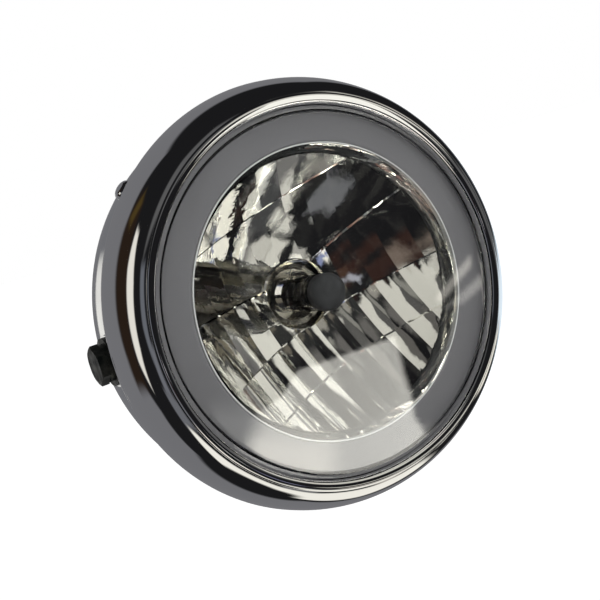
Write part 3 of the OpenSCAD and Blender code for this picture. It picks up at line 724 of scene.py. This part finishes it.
# What the chrome shows: a dark room with a grey sheet behind the lamp, a
# window, and pale sheets below it. Each patch lists its corners as degrees
# right and up from the way to the camera, a soft edge, and a colour.
CREAM, SHEET_GREY = (0.80, 0.77, 0.69), (0.19, 0.19, 0.20)
ROOM_DARK = (0.012, 0.012, 0.013)
ROOM = [
    # The grey sheet behind the lamp, and the edge of the table
    ([(150, -20), (160, -65), (268, -64), (282, -45), (278, -34), (264, -20), (262, 20),
      (256, 50), (170, 52), (166, 20)], 3.0, SHEET_GREY),
    ([(218, -22), (223.5, -22), (225.5, 8), (220, 8)], 1.2, (1.00, 0.98, 0.92)),
    ([(259, -32), (283, -36), (287, 8), (284, 34), (264, 36), (260, 20), (264, -20)], 4.0,
     (0.024, 0.015, 0.010)),
    # The window on the left
    ([(288, -25), (294, -37), (303, -20), (305, 5), (300, 24), (291, 26), (287, 10)], 2.0,
     (0.92, 0.89, 0.80)),
    ([(264, 26), (272, 38), (280, 34), (272, 24)], 3.0, (0.075, 0.05, 0.015)),
    # The pale sheet below
    ([(-28, -72), (-22, -46), (-8, -48), (10, -58), (45, -64), (75, -62), (100, -50), (108, -38),
      (140, -32), (150, -48), (146, -74), (60, -78)], 3.0, (1.05, 1.02, 0.92)),
    ([(65, -38), (100, -40), (103, -48), (66, -48)], 2.0, (0.55, 0.52, 0.46)),
    ([(44, -52), (68, -50), (70, -62), (48, -63)], 3.0, (0.20, 0.20, 0.20)),
    # Pale patches on the right
    ([(118, -4), (118, 8), (170, 8), (170, -8)], 3.0, (0.86, 0.98, 1.06)),
    ([(96, -2), (97, 12), (108, 14), (118, 8), (118, 0), (106, -3)], 2.0, (0.40, 0.43, 0.46)),
    ([(150, 8), (150, 18), (170, 22), (170, 8)], 4.0, (0.20, 0.22, 0.25)),
    ([(90, -13), (112, -8), (130, -3), (131, -16), (112, -19), (94, -20)], 1.5,
     (0.95, 0.91, 0.80)),
    ([(97, -20), (112, -20), (112, -31), (99, -33)], 2.0, (0.85, 0.83, 0.74)),
    ([(79, -14), (91, -16), (89, -28), (86, -36), (74, -34), (78, -24)], 1.5, CREAM),
    ([(53, -16), (73, -16), (73, -23), (53, -23)], 1.5, CREAM),
    ([(42, -18), (50, -19), (50, -25), (43, -24)], 1.5, (0.30, 0.30, 0.45)),
    ([(62, 8), (130, 6), (128, 26), (66, 28)], 4.0, (0.12, 0.12, 0.12)),
    # The wall and ceiling over the camera
    ([(-34, 12), (-20, 12), (-18, -14), (-26, -22), (-34, -10)], 3.0, (0.15, 0.16, 0.18)),
    ([(-30, -34), (-5, -30), (0, -42), (-26, -50)], 3.0, (0.16, 0.165, 0.18)),
    ([(-30, 14), (-5, 30), (20, 36), (22, 60), (0, 62), (-20, 50)], 4.0, (0.12, 0.12, 0.12)),
    ([(22, 26), (60, 34), (75, 32), (120, 32), (112, 45), (92, 60), (45, 62), (24, 56)], 4.0,
     (0.70, 0.68, 0.61)),
    ([(75, 30), (112, 29), (108, 48), (80, 50)], 3.0, (0.80, 0.78, 0.70)),
    # Small things round the camera
    ([(-24, -14), (-11, -14), (-9, -32), (-24, -34)], 3.0, (0.17, 0.175, 0.195)),
    ([(-7, -16), (3, -16), (4, -28), (-6, -30)], 3.0, (0.03, 0.012, 0.012)),
    ([(10, -11), (16, -12), (15, -16), (10, -15)], 1.0, (0.60, 0.60, 0.62)),
    ([(35, -15), (42, -16), (42, -20), (36, -20)], 1.0, (0.70, 0.70, 0.68)),
]

# Painted reflections that only the mirror behind the lens shows, in place of the room
INSIDE_PAINTED_REFLECTIONS = [
    ([(6, 2), (75, 2), (80, 28), (58, 36), (6, 32)], 5.0, (0.03, 0.03, 0.03)),
    ([(26, 4), (70, 2), (68, 19), (50, 22), (36, 12), (28, 20)], 2.0, (0.21, 0.185, 0.14)),
    ([(18, 12), (24, 13), (26, 19), (22, 20)], 1.5, (0.30, 0.27, 0.21)),
    ([(42, 25), (52, 24), (53, 31), (43, 30)], 1.5, (0.17, 0.15, 0.12)),
    ([(-44, -24), (-16, -22), (-12, -5), (-2, -4), (-2, 14), (-4, 32), (-40, 34)], 1.5, CREAM),
    ([(9, 7), (20, 8), (24, 13), (20, 19), (12, 16)], 2.0, (0.36, 0.34, 0.30)),
    ([(4, 24), (16, 24), (30, 32), (26, 42), (6, 46)], 4.0, (0.17, 0.16, 0.15)),
    ([(-12, 9), (-1, 5), (-1, 26), (-14, 26)], 1.0, (0.12, 0.115, 0.11)),
    ([(0, 1), (7, 3), (8, 22), (0, 24)], 1.5, (0.30, 0.29, 0.26)),
    ([(-24, 25), (-2, 24), (-2, 38), (-24, 38)], 1.5, (0.15, 0.14, 0.13)),
    ([(76, 18), (94, 16), (96, 62), (68, 56), (64, 34), (74, 32)], 2.5, (0.90, 0.87, 0.78)),
    ([(39, -10), (40, -15), (45, -22), (60, -22), (66, 2), (40, 3)], 1.5, (1.25, 1.19, 1.06)),
    ([(66, -26), (80, -28), (82, -5), (70, -2), (64, -14), (70, -16)], 1.5, CREAM),
    ([(64, -31), (72, -28), (90, -30), (90, -36), (76, -38), (64, -36)], 1.5,
     (0.30, 0.29, 0.27)),
    ([(80, -24), (88, -24), (98, -15), (98, -5), (82, -4)], 1.5, (0.70, 0.67, 0.60)),
    ([(71, -30), (79, -29), (77, -38), (70, -38)], 1.0, CREAM),
    ([(84, -31), (90, -32), (86, -36), (80, -35)], 1.0, (0.60, 0.58, 0.52)),
    ([(77, -38), (84, -38.5), (98, -43), (97, -47), (82, -43), (76, -41)], 1.0, CREAM),
    ([(52, -41), (58, -43), (59, -40), (54, -38)], 1.0, (0.42, 0.41, 0.38)),
    ([(36, -51), (42, -44), (50, -46), (64, -41), (66, -58), (40, -58)], 2.0, SHEET_GREY),
    ([(-12, -8), (17, -8), (27, -17), (30, -26), (8, -30), (-14, -28)], 3.0,
     (0.040, 0.020, 0.016)),
    ([(-5, -21), (2, -24), (11, -20), (5, -17)], 2.0, (0.012, 0.011, 0.012)),
    ([(14, -20), (20, -25), (30, -22), (22, -15)], 3.0, (0.014, 0.012, 0.012)),
    ([(8, -15), (12, -19), (15, -17), (11, -12)], 1.0, (0.075, 0.040, 0.028)),
    ([(35, -15), (44, -16), (44, -19), (36, -19)], 1.0, (0.30, 0.34, 0.55)),
    ([(9, -3), (13, -5), (12, -13), (8, -12)], 1.0, (0.45, 0.45, 0.50)),
    ([(95, -50), (170, -50), (170, 60), (98, 60)], 4.0, (0.22, 0.21, 0.20)),
    ([(87, -25), (104, -22), (106, -40), (88, -38)], 2.0, (0.06, 0.06, 0.06)),
    ([(-22, -17), (-9, -17), (-8, -28), (-22, -28)], 4.0, (0.22, 0.17, 0.14)),
    ([(46, -21), (60, -20), (63, -27), (49, -26)], 1.0, (0.50, 0.48, 0.44)),
    ([(190, -60), (270, -60), (270, 60), (190, 60)], 6.0, SHEET_GREY),
    ([(284, -38), (304, -38), (306, 26), (284, 28)], 3.0, (1.00, 0.96, 0.86)),
]

# Painted reflections that only the lens shows, bright because the lens reflects far less than a
# mirror
LENS_PAINTED_REFLECTIONS = [
    ([(35, -26), (39, -18.4), (69, -8.4), (75, -17), (85, -26.5), (95, -29.7), (109, -32),
      (118, -46), (84, -66), (36, -62), (20, -44), (24, -34)], 0.7, (4.4, 4.3, 3.95)),
    ([(26, -38), (56, -36), (66, -46), (60, -62), (30, -62), (16, -46)], 6.0, (6.9, 6.65, 6.0)),
    ([(92, -30), (116, -34), (118, -50), (96, -60), (84, -48)], 5.0, (3.8, 3.7, 3.4)),
    ([(14, -30), (30, -30), (26, -44), (24, -60), (8, -50)], 5.0, (0.9, 0.9, 0.85)),
    ([(112, -30), (124, -36), (122, -52), (108, -40)], 1.5, (1.0, 1.0, 1.0)),
    ([(84, 1.2), (94, 7), (101, 9.5), (101, 7.5), (94, 4.5), (86, 0)], 0.7, (2.1, 2.0, 1.8)),
    ([(88, -1), (96, 2.5), (105, 5.5), (106, 3.5), (96, 0)], 0.7, (1.4, 1.35, 1.25)),
]


def patch_cover(corners, soft, az, el):
    """How much a patch covers each direction: 1 inside it, 0 outside."""
    area = sum(x0 * y1 - x1 * y0 for (x0, y0), (x1, y1) in zip(corners, corners[1:] + corners[:1]))
    ordered = corners if area > 0 else corners[::-1]
    centre = sum(x for x, _ in ordered) / len(ordered)
    turned_az = az + 360 * np.round((centre - az) / 360)
    inside = np.zeros(az.shape, bool)
    near = np.full(az.shape, 1e9)
    for (x0, y0), (x1, y1) in zip(ordered, ordered[1:] + ordered[:1]):
        dx, dy = x1 - x0, y1 - y0
        t = np.clip(((turned_az - x0) * dx + (el - y0) * dy) / (dx * dx + dy * dy), 0, 1)
        near = np.minimum(near, np.hypot(turned_az - x0 - t * dx, el - y0 - t * dy))
        crosses = (y0 > el) != (y1 > el)
        if y1 != y0:
            inside ^= crosses & (turned_az < x0 + (el - y0) * dx / dy)
    signed = np.where(inside, near, -near)
    t = np.clip(signed / (2 * soft) + 0.5, 0, 1)
    return t * t * (3 - 2 * t)


def gloss_only(obj):
    """Shows the room or the card to mirrors and glass only, so that it lights nothing."""
    obj.visible_camera = False
    obj.visible_diffuse = False
    obj.visible_shadow = False
    obj.visible_volume_scatter = False


def glow_material(name):
    """New material without a shader, which isn't sampled as a lamp."""
    mat = bpy.data.materials.new(name)
    mat.use_nodes = True
    mat.cycles.emission_sampling = "NONE"
    mat.node_tree.nodes.remove(mat.node_tree.nodes["Principled BSDF"])
    return mat


# A ray that has crossed more than two faces of glass has been behind the lens.
# There, ghosts take three bounces, and light that runs on between facets more.
FACES_TO_INSIDE, GHOST_BOUNCES, MANY_BOUNCES = 2.5, 2.5, 3.5
# Painted shade dims the ghosts, and painted light lifts the many bounces between facets
GHOST_PAINTED_DIMMING, MANY_BOUNCE_PAINTED_LIFT = 0.2, 14.0


def room_material():
    """The chrome shows the room, and the lens and what lies behind the lens each show their own
    painted reflections.
    """
    mat = glow_material("room_glow")
    tree = mat.node_tree
    rays = ray_kinds(tree)
    inside = calculate(tree, "GREATER_THAN", rays["Transmission Depth"], FACES_TO_INSIDE)
    shade = node(tree, "ShaderNodeVertexColor", layer_name="shade").outputs["Color"]
    for layer, chosen in (("lens_painted_reflection", rays["Is Singular Ray"]), ("inside_painted_reflection", inside)):
        other = node(tree, "ShaderNodeVertexColor", layer_name=layer).outputs["Color"]
        mix = node(tree, "ShaderNodeMix", data_type="RGBA")
        # The colours are its sockets 6 and 7, and its output 2
        for socket, output in ((0, chosen), (6, shade), (7, other)):
            tree.links.new(output, mix.inputs[socket])
        shade = mix.outputs[2]

    def inside_after(bounces):
        passed = calculate(tree, "GREATER_THAN", rays["Glossy Depth"], bounces)
        return calculate(tree, "MULTIPLY", passed, inside)

    # Ghosts, from the mirror to the lens and back to the mirror, are painted faint, and what goes
    # from facet to facet many times is painted brighter: painted shade and painted light on the
    # facets
    level = calculate(tree, "MULTIPLY_ADD", inside_after(GHOST_BOUNCES), GHOST_PAINTED_DIMMING - 1.0, 1.0)
    strength = calculate(tree, "MULTIPLY_ADD", inside_after(MANY_BOUNCES), MANY_BOUNCE_PAINTED_LIFT, level)
    glow = node(tree, "ShaderNodeEmission", Color=shade, Strength=strength)
    set_surface(tree, glow.outputs["Emission"])
    return mat


def make_room():
    """Far dome with a point at each degree, and one layer of colour for the room and for each set
    of painted reflections.
    """
    cols, rows = 360, 180
    az, el = np.meshgrid(np.arange(cols + 1) - 180.0, np.arange(rows + 1) - 90.0)
    verts = (direction(az, el) * ROOM_R).reshape(-1, 3).tolist()
    wide = cols + 1
    faces = [(j * wide + i, j * wide + i + 1, (j + 1) * wide + i + 1, (j + 1) * wide + i)
             for j in range(rows) for i in range(cols)]
    room = mesh_object("studio_room", verts, faces)
    for name, patches in (("shade", ROOM), ("lens_painted_reflection", LENS_PAINTED_REFLECTIONS),
                          ("inside_painted_reflection", INSIDE_PAINTED_REFLECTIONS)):
        colors = np.zeros(az.shape + (3,)) + np.array(ROOM_DARK)
        for corners, soft, color in patches:
            cover = patch_cover(corners, soft, az, el)[..., None]
            colors = colors * (1 - cover) + np.array(color) * cover
        layer = room.data.color_attributes.new(name, "FLOAT_COLOR", "POINT")
        flat = np.concatenate([colors.reshape(-1, 3), np.ones((len(verts), 1))], axis=1)
        layer.data.foreach_set("color", flat.astype(np.float32).ravel())
    room.data.materials.append(room_material())
    gloss_only(room)


def make_near_card():
    """Pale card close in front of the rim's top, which only the chrome shows."""
    corners_mm = ((-58, 50), (14, 36), (14, 150), (-58, 150))
    way, side = direction(NEAR_CARD_DEG, 0), direction(NEAR_CARD_DEG + 90, 0)
    up = direction(0, 90)
    verts = [way * NEAR_CARD_AWAY + (side * x + up * z) * MM for x, z in corners_mm]
    card = mesh_object("near_card", verts, [(0, 1, 2, 3)], smooth=False)
    mat = glow_material("near_card")
    tree = mat.node_tree
    glow = node(tree, "ShaderNodeEmission", Color=(1.15, 1.13, 1.03, 1.0)).outputs["Emission"]
    clear = node(tree, "ShaderNodeBsdfTransparent").outputs["BSDF"]
    singular = ray_kinds(tree)["Is Singular Ray"]
    set_surface(tree, node(tree, "ShaderNodeMixShader", singular, glow, clear).outputs[0])
    card.data.materials.append(mat)
    card.visible_transmission = False
    gloss_only(card)


def make_floor():
    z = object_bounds()[0][2] - FLOOR_DROP
    corners = ((-1, -1), (1, -1), (1, 1), (-1, 1))
    verts = [(x * FLOOR_HALF, y * FLOOR_HALF, z) for x, y in corners]
    floor = mesh_object("floor", verts, [(0, 1, 2, 3)], smooth=False)
    floor.visible_glossy = False
    floor.visible_transmission = False
    mat = material("floor_white", (0.95, 0.95, 0.95), roughness=1.0, Specular_IOR_Level=0.0,
                   Emission_Color=(1.0, 1.0, 1.0, 1.0))
    tree = mat.node_tree
    glow = calculate(tree, "MULTIPLY", ray_kinds(tree)["Is Camera Ray"], FLOOR_GLOW)
    feed(mat, "Emission Strength", glow)
    floor.data.materials.append(mat)


mats = make_materials()
make_camera()
make_rim(mats)
make_lens(mats)
make_trim(mats)
make_reflector(mats)
make_shell(mats)
make_bulb_glass(mats)
make_bulb_cap(mats)
finish_cad_nodes(mats)
make_world()
make_floor()
make_room()
make_near_card()
soft_sun("key", -30, 50, 40.0, 0.75)
soft_sun("fill", 50, 15, 60.0, 2.0)

bpy.context.scene.view_settings.view_transform = "Standard"
